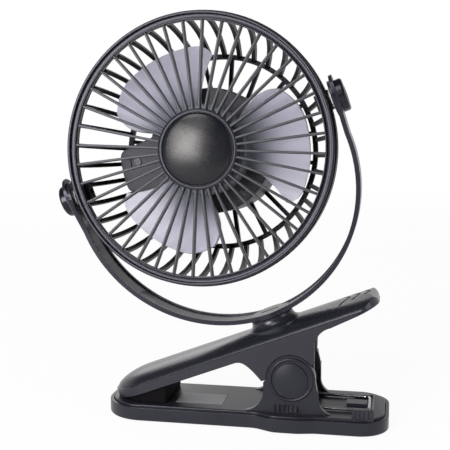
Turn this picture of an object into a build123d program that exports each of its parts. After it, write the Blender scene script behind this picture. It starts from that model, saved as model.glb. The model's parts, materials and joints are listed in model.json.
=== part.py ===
from build123d import *
import math
import os

# A rechargeable clip fan: head, yoke, upper arm and base of a spring clip. Millimetres, +Z up.
# The origin lies on the sole's lower face, under the clip's hinge. X runs along the clip, with the
# jaws at -X and the handle at +X, and the head faces -Y.

# ---- poses at rest ----
arm_slope = 21.0            # closed clip: the arm rises towards its handle
head_tilt = 4.0             # the head looks up a little
impeller_turn = -20.9       # where the three blades stand

# ---- clearances ----
seam_gap = 0.2              # between two covers that close on each other
moving_gap = 0.35           # between faces that move past each other
running_fit = 0.05          # radial play of a pin in its bore
slip_fit = 0.1              # radial play of a fixed piece in its seat

# ---- base ----
jaw_reach = 94.2
handle_reach = 46.5
jaw_half_width = 21.6
handle_half_width = 24.2
bulge_half_width = 26.0
jaw_corner = 19.5
handle_corner = 15.0
sole_thickness = 1.4
sole_step = 0.5             # how far the sole stands out below the tray
sole_inset = 3.0
tray_height = 7.2
tray_wall = 1.8
tray_floor = 1.6
cover_thickness = 2.2
cover_top = 8.2
post_radius = 3.2
base_screw_radius = 1.3
base_screw_head = 2.4
base_screw_length = 7.5

# ---- clip hinge ----
hinge_height = 24.6
lug_radius = 11.8
lug_outer = 18.4
lug_thickness = 3.1
lug_flare = 10.0
lug_shoulder = 13.3         # half the lug's width below the axle
lug_handle_flare = 6.4
back_trim = 1.5             # the rear lug and skirt end this much sooner towards the handle
window_left = -8.0          # row of shallow slots low on the front lug
window_right = 5.0
window_low = 0.4
window_high = 4.0
window_depth = 0.9
window_slots = 6
axle_radius = 2.0
cap_radius = 7.9
cap_height = 1.5
cap_dome = 0.7
groove_radius = 9.2         # dark groove round the axle cap
ring_radius = 10.8
ring_height = 0.9
sleeve_radius = 6.4

# ---- spring ----
wire_radius = 0.75
coil_radius = 8.3
coil_pitch = 2.5
coil_turns = 3
base_leg_reach = 37.0
base_leg_bend = 12.0
leg_bend_radius = 6.0
leg_lift = 0.3              # the legs' clearance above the cover
loop_half_width = 10.6
loop_corner = 3.0
arm_leg_reach = 31.0

# ---- spring retainer on the cover ----
retainer_start = 29.2
retainer_end = 39.4
retainer_height = 4.5
retainer_outer = 21.6
retainer_inner = 19.0
retainer_grooves = 4
rail_height = 1.3           # rail at the far edge and stop behind the loop
rail_width = 2.2
rail_place = 12.2
hook_length = 10.0

# ---- upper arm ----
arm_jaw_reach = 90.0
arm_handle_reach = 51.5
arm_half_width = 18.4
arm_rim = 20.3              # height of the side wall's upper edge above the hinge
arm_crown = 25.6
crown_shoulder = 8.0        # degrees of the crown's ellipse left out at its rim
arm_skirt = 4.3
arm_wall = 2.2
arm_handle_corner = 13.0
arm_tail_drop = 3.6
heel_low = (13.3, 3.7)      # the skirt's outline below the handle
heel_middle = (16.2, 11.0)
heel_high = (26.5, 17.6)
handle_lip = 20.1           # lower edge of the side wall at the handle's end
ledge = 0.7                 # narrow flat rim between side wall and crown
cheek_radius = 11.6
cheek_thickness = 2.8
chevron_count = 3
turret_x = -1.2
turret_radius = 10.7
turret_top = 29.45
turret_flare = 3.4

# ---- jaw pad ----
pad_start = arm_jaw_reach - 8.0
pad_end = arm_jaw_reach - 26.0
pad_half_width = 16.2
pad_gap = 0.1               # the pad almost rests on the base cover

# ---- the head's size, which the ring, basket, blades and yoke follow ----
head_radius = 66.6

# ---- yoke ----
bow_long = head_radius + 5.5     # the bow is a slightly leaning oval
bow_short = head_radius + 2.4
bow_turn = -49.8
bow_x = 0.8
bow_z = -17.8
yoke_foot = 4.2             # the swivel stands this far off the head's middle
yoke_splay = head_radius + 5.4
yoke_thickness = 2.2
yoke_width = 16.6
yoke_tip = 11.0
yoke_rim = 1.7
yoke_groove = 0.7
pad_disc_radius = 8.6
pad_disc_height = 1.0
spigot_radius = 5.0
swivel_plate = 1.2
swivel_washer_radius = 8.0
swivel_washer_thickness = 1.0
swivel_screw_radius = 1.6
swivel_screw_head = 3.2
pivot_cap_radius = 8.0
pivot_cap_height = 3.7
pivot_shoulder_radius = 2.4
pivot_thread_radius = 1.5
pivot_head_radius = 3.8
pivot_head_height = 1.3

# ---- head: ring and grilles, y counts back from the tilt axis ----
ring_inner = head_radius - 4.5
ring_front = -9.0
ring_seam = -5.2
groove_floor = -7.4         # floor of the groove round the ring
rib_count = 40
rib_width = 1.3
rib_front = -8.2
rib_back = -5.4
hub_plate_radius = 19.8
hub_cap_radius = 17.5
hub_cap_seat = 1.2
hub_cap_dome = 2.4
hub_collar_back = -2.2
rim_radius = head_radius + 0.6      # the rear basket's rim stands out beyond the ring
rim_wall = 2.2
rim_back = 3.5
spigot_depth = 3.0
rear_bar_count = 40
rear_bar_width = 2.1
rear_bar_depth = 2.4
rear_ring_radius = head_radius - 15.2
rear_ring_y = 47.6
rear_ring_width = 2.6
inner_bar_count = 20
boss_radius = 5.0
boss_end = head_radius + 1.4
block_start = head_radius - 6.0
block_half_height = 4.0

# ---- head: motor housing ----
pod_radius = 32.3
pod_front = 20.0
pod_seam = 33.0
pod_back = 57.0
pod_wall = 1.8
tongue_reach = 48.6
tongue_angle = 173.2
tongue_corner = 4.4
tongue_outer_half = 10.6
tongue_inner_half = 14.6
nose_radius = 14.4
nose_front = 13.2
pod_screw_circle = 27.4
pod_screw_angles = (199.8, 108.0, 288.0, 18.0)
pod_post_radius = 2.9
pod_screw_radius = 1.2
pod_screw_head = 2.2
recess_radial = 39.4
recess_angle = 167.8
recess_length = 7.6
recess_width = 4.8
recess_depth = 0.9
panel_radius = 13.4
panel_drop = 15.5
panel_thickness = 0.8
button_radius = 4.6
button_travel = 0.8
button_proud = 1.6
lens_radius = 1.2
lens_spacing = 8.6
board_drop = 17.4
board_width = 36.0
board_height = 15.0
board_y = 46.0
board_thickness = 1.2
switch_height = 4.2
switch_stem = 1.6
socket_width = 8.9
socket_height = 3.2
socket_depth = 7.0

# ---- motor, battery ----
motor_radius = 12.0
motor_front = 15.2
motor_back = 32.0
motor_cap_back = 33.4
can_wall = 1.0
shaft_radius = 1.15
bushing_radius = 3.0
bushing_length = 2.4
magnet_thickness = 1.6
armature_radius = 8.9
battery_radius = 9.2
battery_length = 65.0
battery_y = 43.3
battery_far_end = 43.2

# ---- impeller ----
blade_count = 3
tip_radius = head_radius - 13.6
hub_radius = 22.6
hub_front = 1.2
hub_back = 15.5
hub_wall = 1.6
blade_front = 3.0
blade_back = 17.0
blade_thickness = 1.5
hub_boss_radius = 4.0
hub_boss_back = 12.6

# ---- label ----
label_x = -46.3
label_y = -4.2
label_length = 23.6
label_width = 15.6
label_thickness = 0.4

os.makedirs("parts", exist_ok=True)

arm_frame = Pos(0, 0, hinge_height) * Rot(0, -arm_slope, 0)
bow_lean = math.radians(bow_turn)
yoke_drop = math.hypot(bow_long * math.sin(bow_lean), bow_short * math.cos(bow_lean)) - bow_z
swivel_height = turret_top + moving_gap
yoke_frame = arm_frame * Pos(turret_x - yoke_foot, 0, swivel_height + yoke_drop)
swivel_frame = yoke_frame * Pos(yoke_foot, 0, 0)
head_frame = yoke_frame * Rot(-head_tilt, 0, 0)


def save(shape, name, frame=Pos(0, 0, 0)):
    # a list of like pieces is written as one group of separate solids
    if isinstance(shape, list):
        shape = Compound(children=shape)
    placed = frame * shape
    placed.label = name
    export_step(placed, "parts/" + name + ".step")


def rod_y(radius, y0, y1, x=0.0, z=0.0):
    bar = Cylinder(radius, abs(y1 - y0), align=(Align.CENTER, Align.CENTER, Align.MIN))
    return Pos(x, min(y0, y1), z) * Rot(-90, 0, 0) * bar


def rod_x(radius, x0, x1, y=0.0, z=0.0):
    bar = Cylinder(radius, abs(x1 - x0), align=(Align.CENTER, Align.CENTER, Align.MIN))
    return Pos(min(x0, x1), y, z) * Rot(0, 90, 0) * bar


def rod_z(radius, z0, z1, x=0.0, y=0.0):
    bar = Cylinder(radius, abs(z1 - z0), align=(Align.CENTER, Align.CENTER, Align.MIN))
    return Pos(x, y, min(z0, z1)) * bar


def block(x0, x1, y0, y1, z0, z1):
    return Pos((x0 + x1) / 2, (y0 + y1) / 2, (z0 + z1) / 2) * Box(x1 - x0, y1 - y0, z1 - z0)


def along_y(sketch, y0, y1):
    # a sketch drawn in X and Z, given depth from y0 back to y1
    return extrude(Plane.XZ.offset(-y1) * sketch, amount=y1 - y0)


def along_x(sketch, x0, x1):
    # a sketch drawn in Y and Z, given length from x0 to x1
    return extrude(Plane.YZ.offset(x0) * sketch, amount=x1 - x0)


def turned(points):
    # a profile of (radius, y) points spun about the Y axis
    return revolve(make_face(Polyline(*points, close=True)), Axis.Y, 360)


def spokes(shape, count, start=0.0):
    return [Rot(0, -(start + 360.0 * i / count), 0) * shape for i in range(count)]


def polar(radius, degrees):
    return radius * math.cos(math.radians(degrees)), radius * math.sin(math.radians(degrees))


# ---------------------------------------------------------------- base

def base_outline(inset):
    jaw = jaw_half_width - inset
    handle = handle_half_width - inset
    bulge = bulge_half_width - inset
    left = -jaw_reach + inset
    right = handle_reach - inset
    half = [(left, jaw), (-17, jaw), (-8, bulge), (4, bulge), (12, handle), (right, handle)]
    lower = [(x, -y) for x, y in half]
    points = lower + half[::-1]
    bends = [jaw_corner - inset, 12, 12, 12, 12, handle_corner - inset]
    return make_face(FilletPolyline(*points, radius=bends + bends[::-1], close=True))


tray_bottom = sole_step
cover_bottom = cover_top - cover_thickness
post_places = [(-78, 8), (-78, -8), (-24, 13), (-24, -13), (20, 17.5), (20, -17.5)]


def make_sole():
    return extrude(base_outline(sole_inset + slip_fit), sole_thickness)


def make_base_tray():
    outer = Pos(0, 0, tray_bottom) * extrude(base_outline(0), tray_height - tray_bottom)
    lower_edges = outer.faces().sort_by(Axis.Z)[0].edges()
    outer = fillet(lower_edges, 1.0)
    floor_z = tray_bottom + tray_floor + sole_thickness - sole_step
    hollow = Pos(0, 0, floor_z) * extrude(base_outline(tray_wall), tray_height)
    recess = extrude(base_outline(sole_inset), sole_thickness)
    tray = outer - hollow - recess
    for x, y in post_places:
        tray += rod_z(post_radius, floor_z - 0.2, cover_bottom - slip_fit, x, y)
    for x, y in post_places:
        tray -= rod_z(base_screw_radius + slip_fit, 0, cover_bottom + 1, x, y)
        tray -= rod_z(base_screw_head + slip_fit, 0, sole_thickness + 1.1, x, y)
    return tray


def make_base_screws():
    screws = []
    for x, y in post_places:
        head = rod_z(base_screw_head, sole_thickness, sole_thickness + 1.0, x, y)
        shank = rod_z(base_screw_radius, sole_thickness + 0.5, cover_bottom + 1.2, x, y)
        screws.append(head + shank)
    return screws


def lug_profile(trim):
    # round top on a wider neck that flares into the cover, more gently towards the jaws
    floor = cover_top - hinge_height
    left = -lug_shoulder
    jaw_end = (left - lug_flare, floor)
    jaw_side = Line((-lug_radius, -0.6), (left, -2.0)) + Line((left, -2.0), (left, floor + lug_flare))
    middle = (left - lug_flare * 0.293, floor + lug_flare * 0.293)
    jaw_side += ThreePointArc((left, floor + lug_flare), middle, jaw_end)
    right = lug_shoulder - trim
    handle_end = (right + lug_handle_flare, floor)
    high = (right, floor + lug_handle_flare * 1.2)
    handle_side = Line((lug_radius - 0.1, 0), high)
    middle = (right + lug_handle_flare * 0.28, floor + lug_handle_flare * 0.4)
    handle_side += ThreePointArc(high, middle, handle_end)
    foot = Polyline(jaw_end, (jaw_end[0], floor - 0.5), (handle_end[0], floor - 0.5), handle_end)
    neck = jaw_side + foot + handle_side + Line((lug_radius - 0.1, 0), (-lug_radius, -0.6))
    return Circle(lug_radius) + make_face(neck)


def make_lug_ring(side):
    # rounded ring that stands proud round the axle cap
    face = side * (lug_outer + ring_height)
    ring = rod_y(ring_radius, side * (lug_outer - 1), face)
    ring -= rod_y(groove_radius, side * (lug_outer - 2), face * 1.1)
    front = ring.faces().sort_by(Axis.Y)[-1 if side > 0 else 0]
    return Pos(0, 0, hinge_height) * fillet(front.edges(), 0.72)


def make_lug(side):
    trim = back_trim if side > 0 else 0.0
    y0, y1 = sorted((side * (lug_outer - lug_thickness), side * lug_outer))
    profile = lug_profile(trim) - Pos(lug_radius - trim, 0) * Rectangle(10, 40, align=(Align.MIN, Align.MIN))
    return Pos(0, 0, hinge_height) * along_y(profile, y0, y1) + make_lug_ring(side)


def make_retainer():
    # a grooved wall in front of the spring's loop, a rail behind it, a stop at its end and a hook inside it
    low = cover_top - 1
    top = cover_top + retainer_height
    rail_top = cover_top + rail_height
    hook_x = base_leg_reach - wire_radius - moving_gap
    wall = block(retainer_start, retainer_end, -retainer_outer, -retainer_inner, low, top)
    pitch = (retainer_end - retainer_start) / (retainer_grooves + 1)
    for i in range(retainer_grooves):
        x = retainer_start + pitch * (i + 1)
        wall -= block(x - 0.4, x + 0.4, -retainer_outer - 1, -retainer_outer + 0.5, cover_top + 0.6, top + 1)
    rail = block(retainer_start, retainer_end, rail_place, rail_place + rail_width, low, rail_top)
    stop = block(retainer_end - 1.1, retainer_end, -retainer_outer + 1, rail_place + rail_width, low, rail_top)
    hook = block(hook_x - hook_length, hook_x, -3.5, 3.5, low, rail_top + 0.4)
    return wall + rail + stop + hook


def make_base_cover():
    cover = Pos(0, 0, cover_bottom) * extrude(base_outline(tray_wall + seam_gap), cover_thickness)
    cover = fillet(cover.faces().sort_by(Axis.Z)[-1].edges(), 0.6)
    cover += make_lug(-1) + make_lug(1) + make_retainer()
    cover -= rod_y(axle_radius, -lug_outer - 1, lug_outer + 1, 0, hinge_height)
    # shallow slots below the front axle cap
    pitch = (window_right - window_left) / window_slots
    for i in range(window_slots):
        x = window_left + pitch * i
        cover -= block(x + 0.3, x + pitch - 0.3, -lug_outer - 1, -lug_outer + window_depth,
                       cover_top + window_low, cover_top + window_high)
    # seat of the label
    cover -= block(label_x - label_length / 2 - slip_fit, label_x + label_length / 2 + slip_fit,
                   label_y - label_width / 2 - slip_fit, label_y + label_width / 2 + slip_fit,
                   cover_top - label_thickness + 0.1, cover_top + 1)
    for x, y in post_places:
        cover -= rod_z(base_screw_radius, cover_bottom - 1, cover_bottom + 1.4, x, y)
    return cover


def make_label():
    return block(label_x - label_length / 2, label_x + label_length / 2, label_y - label_width / 2,
                 label_y + label_width / 2, cover_top - label_thickness + 0.1, cover_top + 0.1)


def make_axle():
    reach = lug_outer - 0.2
    return rod_y(axle_radius, -reach, reach, 0, hinge_height)


def make_axle_cap(side):
    face = side * (lug_outer + cap_height - cap_dome)
    disc = rod_y(cap_radius, side * lug_outer, face, 0, hinge_height)
    sphere_radius = (cap_radius ** 2 + cap_dome ** 2) / (2 * cap_dome)
    ball = Pos(0, face + side * (cap_dome - sphere_radius), hinge_height) * Sphere(sphere_radius)
    dome = ball & rod_y(cap_radius, face, face + side * cap_dome * 1.5, 0, hinge_height)
    return disc + dome


def make_sleeve():
    half = lug_outer - lug_thickness - moving_gap - cheek_thickness - moving_gap
    tube = rod_y(sleeve_radius, -half, half, 0, hinge_height)
    return tube - rod_y(axle_radius + running_fit, -half - 1, half + 1, 0, hinge_height)


# ---------------------------------------------------------------- spring

def biarc(start, start_dir, end, end_dir):
    # two arcs that leave start and reach end along the given directions
    chord = end - start
    joined = start_dir + end_dir
    a = joined.dot(joined) - 4
    b = -2 * chord.dot(joined)
    c = chord.dot(chord)
    d = (-b - math.sqrt(b * b - 4 * a * c)) / (2 * a)
    if d < 0:
        d = (-b + math.sqrt(b * b - 4 * a * c)) / (2 * a)
    middle = (start + end + (start_dir - end_dir) * d) * 0.5
    first = Edge.make_tangent_arc(start, start_dir, middle)
    middle_dir = (end - middle - end_dir * d).normalized()
    second = Edge.make_tangent_arc(middle, middle_dir, end)
    return [first, second]


def tangent_angle(x, z):
    # angle on the coil where a straight line to (x, z) leaves it, and the line's own angle
    reach = math.hypot(x, z)
    return math.degrees(math.atan2(z, x)), math.degrees(math.asin(coil_radius / reach))


def half_spring():
    # from the loop's middle, along one base leg, round the coil and up to the arm; y > 0
    leg_z = cover_top + leg_lift + wire_radius - hinge_height
    bearing, spread = tangent_angle(base_leg_bend, leg_z)
    base_angle = bearing + spread
    exit_turn = 270.0 + base_angle
    roof = arm_crown - arm_wall - 0.6 - wire_radius - (arm_crown - arm_rim) * 0.02
    reach = math.hypot(arm_leg_reach, roof)
    end_bearing = arm_slope + math.degrees(math.atan2(roof, arm_leg_reach))
    arm_angle = end_bearing - math.degrees(math.asin(coil_radius / reach))
    entry_turn = 90.0 + arm_angle
    total = exit_turn - entry_turn + 360.0 * coil_turns
    rise = coil_pitch * total / 360.0

    def on_coil(share):
        angle = math.radians(exit_turn - total * share)
        x, z = coil_radius * math.cos(angle), coil_radius * math.sin(angle)
        return Vector(x, loop_half_width - rise * share, z)

    def coil_dir(share):
        angle = math.radians(exit_turn - total * share)
        sweep_angle = -math.radians(total)
        return Vector(-coil_radius * math.sin(angle) * sweep_angle, -rise,
                      coil_radius * math.cos(angle) * sweep_angle).normalized()

    edges = []
    loop_x = base_leg_reach
    corner = Vector(loop_x, loop_half_width - loop_corner, leg_z)
    edges.append(Edge.make_line(Vector(loop_x, 0, leg_z), corner))
    leg_start = Vector(loop_x - loop_corner, loop_half_width, leg_z)
    edges.append(Edge.make_tangent_arc(corner, Vector(0, 1, 0), leg_start))
    # bend from the flat leg up to the coil, in the plane y = loop_half_width
    bend_length = leg_bend_radius * math.tan(math.radians(abs(base_angle)) / 2)
    bend_in = Vector(base_leg_bend + bend_length, loop_half_width, leg_z)
    up = Vector(-math.cos(math.radians(base_angle)), 0, -math.sin(math.radians(base_angle)))
    bend_out = Vector(base_leg_bend, loop_half_width, leg_z) + up * bend_length
    edges.append(Edge.make_line(leg_start, bend_in))
    edges.append(Edge.make_tangent_arc(bend_in, Vector(-1, 0, 0), bend_out))
    # the straight run stops short and one biarc eases it into the coil's slant
    coil_start = on_coil(0)
    run_end = coil_start - up * 2.0
    ease = 20.0 / total
    edges.append(Edge.make_line(bend_out, run_end))
    edges += biarc(run_end, up, on_coil(ease), coil_dir(ease))
    steps = math.ceil(total / 90.0)
    shares = [ease + (1 - 2 * ease) * i / steps for i in range(steps + 1)]
    for a, b in zip(shares[:-1], shares[1:]):
        edges += biarc(on_coil(a), coil_dir(a), on_coil(b), coil_dir(b))
    arm_dir = Vector(math.cos(math.radians(arm_angle)), 0, math.sin(math.radians(arm_angle)))
    coil_end = on_coil(1)
    run_start = coil_end + arm_dir * 2.0
    edges += biarc(on_coil(1 - ease), coil_dir(1 - ease), run_start, arm_dir)
    leg_length = math.sqrt(reach ** 2 - coil_radius ** 2)
    edges.append(Edge.make_line(run_start, coil_end + arm_dir * leg_length))
    return edges


def spring_path():
    half = [edge.moved(Location((0, 0, hinge_height))) for edge in half_spring()]
    other = [edge.mirror(Plane.XZ) for edge in half]
    return Wire(half + other)


def least_gap(path):
    # samples along the wire; pairs less than 2.4 coil radii apart along it are left out
    count = 1200
    length = path.length
    points = [path.position_at(i / count) for i in range(count + 1)]
    apart = int(count * coil_radius * 2.4 / length)
    best = 1e9
    for i, first in enumerate(points):
        for second in points[i + apart:]:
            best = min(best, (first - second).length)
    return best - 2 * wire_radius


def make_spring():
    path = spring_path()
    print("spring: least gap to itself %.2f mm, length %.0f mm" % (least_gap(path), path.length))
    start = path.position_at(0)
    section = Plane(start, z_dir=path.tangent_at(0)) * Circle(wire_radius)
    return sweep(section, path)


# ---------------------------------------------------------------- upper arm, in its own frame

def crown_arc(edge, low, top, arc_size):
    # part of an ellipse, steep at its shoulders and flat on top
    start = math.radians(crown_shoulder)
    rise = (top - low) / (1 - math.sin(start))
    center = (0, top - rise)
    return EllipticalCenterArc(center, edge / math.cos(start), rise, crown_shoulder, arc_size=arc_size)


def arm_envelope(inset, bottom):
    # one cross-section, run along the handle and spun round the nose, cut to the handle's end
    left = -arm_jaw_reach + inset
    right = arm_handle_reach - inset
    half = arm_half_width - inset
    top = arm_crown - inset
    rim = arm_rim - inset * 0.6
    edge = half - ledge
    low = rim + 0.1
    plan = Pos((left + right) / 2, 0) * Rectangle(right - left, 2 * half)
    handle_bends = plan.vertices().filter_by(lambda v: v.X > right - 0.01)
    plan = fillet(handle_bends, arm_handle_corner - inset)
    plan = Pos(0, 0, bottom) * extrude(plan, top + 2 - bottom)
    walls = Polyline((-edge, low), (-half, rim), (-half, bottom), (half, bottom), (half, rim), (edge, low))
    section = make_face(walls + crown_arc(edge, low, top, 180 - 2 * crown_shoulder))
    body = along_x(section, left + half, right + 1)
    spun = crown_arc(edge, low, top, 90 - crown_shoulder)
    spun += Polyline((edge, low), (half, rim), (half, bottom), (0, bottom), (0, top))
    body += Pos(left + half, 0) * revolve(Plane.XZ * make_face(spun), Axis.Z, 360)
    tail = (right, top - arm_tail_drop)
    side = ThreePointArc((right - 8, top), (right - 1.8, top - 1.2), tail)
    side += Polyline(tail, (right, bottom), (left - 1, bottom), (left - 1, top), (right - 8, top))
    return plan & body & along_y(make_face(side), -half - 1, half + 1)


def heel_curve():
    # from the skirt's low corner up to the handle
    return Line(heel_low, heel_middle) + ThreePointArc(heel_middle, (19.2, 15.4), heel_high)


def skirt_profile():
    # what hangs below the side wall: the jaw-side arch, the room for the lug, the heel
    edge = arm_rim - arm_skirt
    arch = Spline((-23.5, edge), (-20.0, 15.0), (-16.8, 10.8), (-14.9, 6.6), (-13.8, 3.7))
    outline = arch + Line((-13.8, 3.7), heel_low) + heel_curve()
    high = arm_rim - 0.2
    outline += Polyline(heel_high, (heel_high[0], high), (-23.5, high), (-23.5, edge))
    return make_face(outline) - Circle(lug_radius + moving_gap)


def under_handle():
    # what is cut away below the heel and the handle's lip
    end = arm_handle_reach + 1
    cut = heel_curve() + Polyline(heel_high, (end, handle_lip), (end, -5), (heel_low[0], -5), heel_low)
    return make_face(cut)


def cheek_profile():
    # round the axle and widening into the crown; its sides stay inside the skirt's outline
    web = Polyline((-cheek_radius, 0), (-12.6, 4), (-15.8, 11.6), (-19, 15.6), (-22, 17.4), (-22, arm_crown),
                   (22, arm_crown), (22, 18.5), (17.4, 15.6), (14.4, 10.5), (cheek_radius, 0), close=True)
    return Circle(cheek_radius) + make_face(web)


def chevron(tip_x, half_width, stroke):
    rise = half_width * 0.62
    outer = [(tip_x - rise, half_width), (tip_x, 0), (tip_x - rise, -half_width)]
    inner = [(tip_x - rise - stroke, -half_width), (tip_x - stroke, 0), (tip_x - rise - stroke, half_width)]
    return make_face(Polyline(*(outer + inner), close=True))


boss_bottom = arm_crown - arm_wall - 1.6


def closing_line(x, gap):
    # height, in the arm's frame, that lies the gap above the base cover when the clip is shut
    slope = math.radians(arm_slope)
    return (cover_top + gap - hinge_height - x * math.sin(slope)) / math.cos(slope)


def make_turret():
    # the round table below the yoke, with a flared foot that runs into the crown
    edge = turret_radius + turret_flare
    high = (turret_radius, arm_crown + turret_flare * 0.9)
    low = (edge, arm_crown - 0.4)
    half = ThreePointArc(high, (turret_radius + turret_flare * 0.3, arm_crown + turret_flare * 0.25), low)
    root = arm_crown - 3.4
    half += Polyline(low, (edge, root), (turret_radius, root), (turret_radius, boss_bottom),
                     (0, boss_bottom), (0, turret_top), (turret_radius, turret_top), high)
    return Pos(turret_x, 0, 0) * revolve(Plane.XZ * make_face(half), Axis.Z, 360)


def make_chevrons():
    cuts = []
    for i in range(chevron_count):
        shape = chevron(39.0 + 5.0 * i, 9.0 - 2.4 * i, 1.3)
        cuts.append(Pos(0, 0, arm_crown - 6) * extrude(shape, 8))
    skin = arm_envelope(0, 0) - arm_envelope(0.6, -1)
    return [cut & skin for cut in cuts]


def make_upper_arm():
    edge = arm_rim - arm_skirt
    shell = arm_envelope(0, edge) - arm_envelope(arm_wall, edge - 1)
    shell += make_turret()
    cheek_outer = lug_outer - lug_thickness - moving_gap
    keep = arm_envelope(1.0, -20)
    keep_low = block(0, 40, -30, 30, -10, handle_lip - 3)
    for side in (-1, 1):
        y0, y1 = sorted((side * (arm_half_width - arm_wall), side * arm_half_width))
        shell += along_y(skirt_profile(), y0, y1)
        y0, y1 = sorted((side * (cheek_outer - cheek_thickness), side * cheek_outer))
        shell += along_y(cheek_profile(), y0, y1) & keep
    shell -= along_y(under_handle(), -arm_half_width - 1, arm_half_width + 1)
    shell -= along_y(Pos(-back_trim, 0) * under_handle(), 5, arm_half_width + 1) & keep_low
    shell -= rod_y(axle_radius + running_fit, -arm_half_width - 1, arm_half_width + 1)
    shell -= rod_z(spigot_radius + running_fit, boss_bottom - 1, turret_top + 1, turret_x)
    below = Polyline((-110, closing_line(-110, moving_gap)), (-60, closing_line(-60, moving_gap)), (-60, -40),
                     (-110, -40), close=True)
    shell -= along_y(make_face(below), -arm_half_width - 1, arm_half_width + 1)
    for cut in make_chevrons():
        shell -= cut
    return shell


def make_jaw_pad():
    # rubber wedge between the side walls; its lower face lies along the base cover when the clip is shut,
    # and its face towards the hinge then stands upright
    top = arm_rim - arm_skirt + 2.8
    front_low = closing_line(-pad_start, pad_gap)
    back_low = closing_line(-pad_end, pad_gap)
    back_top = -pad_end + (top - back_low) * math.tan(math.radians(arm_slope))
    corners = [(-pad_start, top), (-pad_start, front_low), (-pad_end, back_low), (back_top, top)]
    wedge = along_y(make_face(Polyline(*corners, close=True)), -pad_half_width, pad_half_width)
    return wedge & arm_envelope(arm_wall + slip_fit, -30)


# ---------------------------------------------------------------- yoke, in its own frame

def yoke_outline(offset, top):
    # everything inside the yoke's outer face, taken in by the offset: the bow's oval and two straight arms
    across = bow_long * bow_short / (yoke_drop + bow_z)
    bow = Pos(bow_x, bow_z) * Rot(0, 0, bow_turn) * Ellipse(bow_long - offset, bow_short - offset)
    bow -= Pos(0, bow_z) * Rectangle(4 * bow_long, 3 * bow_long, align=(Align.CENTER, Align.MIN))
    corners = []
    for side in (-1, 1):
        low = bow_x + side * across
        high = low + (side * yoke_splay - low) * (top - bow_z) / -bow_z
        corners += [(low - side * offset, bow_z), (high - side * offset, top)]
    a, b, c, d = corners
    return bow + make_face(Polyline(a, b, d, c, close=True))


def yoke_band(outer_offset, inner_offset, top, half):
    return along_y(yoke_outline(outer_offset, top) - yoke_outline(inner_offset, top), -half, half)


yoke_inner = yoke_splay - yoke_thickness


def make_yoke():
    half = yoke_width / 2
    band = yoke_band(0, yoke_thickness, yoke_tip, half)
    length = yoke_drop + yoke_tip - half + 5
    side_view = Pos(0, yoke_tip - half) * Circle(half)
    side_view += Pos(0, yoke_tip - half - length / 2) * Rectangle(yoke_width, length)
    band = band & along_x(side_view, -yoke_splay - 5, yoke_splay + 5)
    band -= yoke_band(yoke_thickness - yoke_groove, yoke_thickness + 1, -12, half - yoke_rim)
    for side in (-1, 1):
        band += rod_x(pad_disc_radius, side * (yoke_inner - pad_disc_height), side * (yoke_inner + 1))
        flat = sorted((side * yoke_splay, side * (yoke_splay + 6)))
        band -= block(flat[0], flat[1], -half - 1, half + 1, -9, 20)
        band -= rod_x(pivot_shoulder_radius + running_fit, side * (yoke_inner - 3), side * (yoke_splay + 3))
    base = -yoke_drop
    band += rod_z(turret_radius - 0.5, base, base + 2.4, yoke_foot)
    band += rod_z(spigot_radius, base - spigot_drop, base + 1, yoke_foot)
    band -= rod_z(swivel_screw_radius, base - spigot_drop - 1, base + 1.6, yoke_foot)
    floor = base + yoke_thickness - yoke_groove
    return band - block(yoke_foot - 4.5, yoke_foot + 4.5, -1.0, 1.0, floor - 0.6, floor + 4)


spigot_drop = swivel_height - boss_bottom + 0.15     # the spigot's end stands just below the boss


def make_swivel_washer():
    top = -yoke_drop - spigot_drop
    washer = rod_z(swivel_washer_radius, top - swivel_washer_thickness, top)
    return washer - rod_z(swivel_screw_radius + slip_fit, top - 3, top + 1)


def make_swivel_screw():
    top = -yoke_drop - spigot_drop - swivel_washer_thickness
    head = rod_z(swivel_screw_head, top - 1.6, top)
    slot = block(-swivel_screw_head - 1, swivel_screw_head + 1, -0.4, 0.4, top - 2, top - 1.0)
    return head - slot + rod_z(swivel_screw_radius, top - 0.5, -yoke_drop + 1.4)


def make_pivot_cap(side):
    x0 = side * (yoke_splay + 0.02)
    x1 = side * (yoke_splay + pivot_cap_height)
    cap = rod_x(pivot_cap_radius, x0, x1)
    rim = cap.edges().filter_by(GeomType.CIRCLE).sort_by(Axis.X)[-1 if side > 0 else 0]
    cap = fillet(rim, 1.3)
    cap -= rod_x(pivot_shoulder_radius + running_fit, x0 - side, x1 + side)
    return cap - rod_x(pivot_head_radius + moving_gap, x1 - side * (pivot_head_height + 0.3), x1 + side)


def make_pivot_washer(side):
    x0 = side * (boss_end + 0.03)
    x1 = side * (yoke_inner - pad_disc_height - 0.03)
    washer = rod_x(boss_radius, x0, x1)
    return washer - rod_x(pivot_shoulder_radius + running_fit, x0 - side, x1 + side)


def make_pivot_screw(side):
    seat = side * (yoke_splay + pivot_cap_height - pivot_head_height - 0.25)
    tip = side * (block_start + 1.5)
    shank = rod_x(pivot_thread_radius, tip, side * (boss_end + 0.5))
    shoulder = rod_x(pivot_shoulder_radius, side * boss_end, seat)
    head = rod_x(pivot_head_radius, seat, seat + side * pivot_head_height)
    slot = block(*sorted((seat + side * 0.6, seat + side * 3)), -0.45, 0.45, -2.4, 2.4)
    cross = block(*sorted((seat + side * 0.6, seat + side * 3)), -2.4, 2.4, -0.45, 0.45)
    return shank + shoulder + head - slot - cross


# ---------------------------------------------------------------- head, in its own frame

rim_inner = rim_radius - rim_wall


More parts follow.
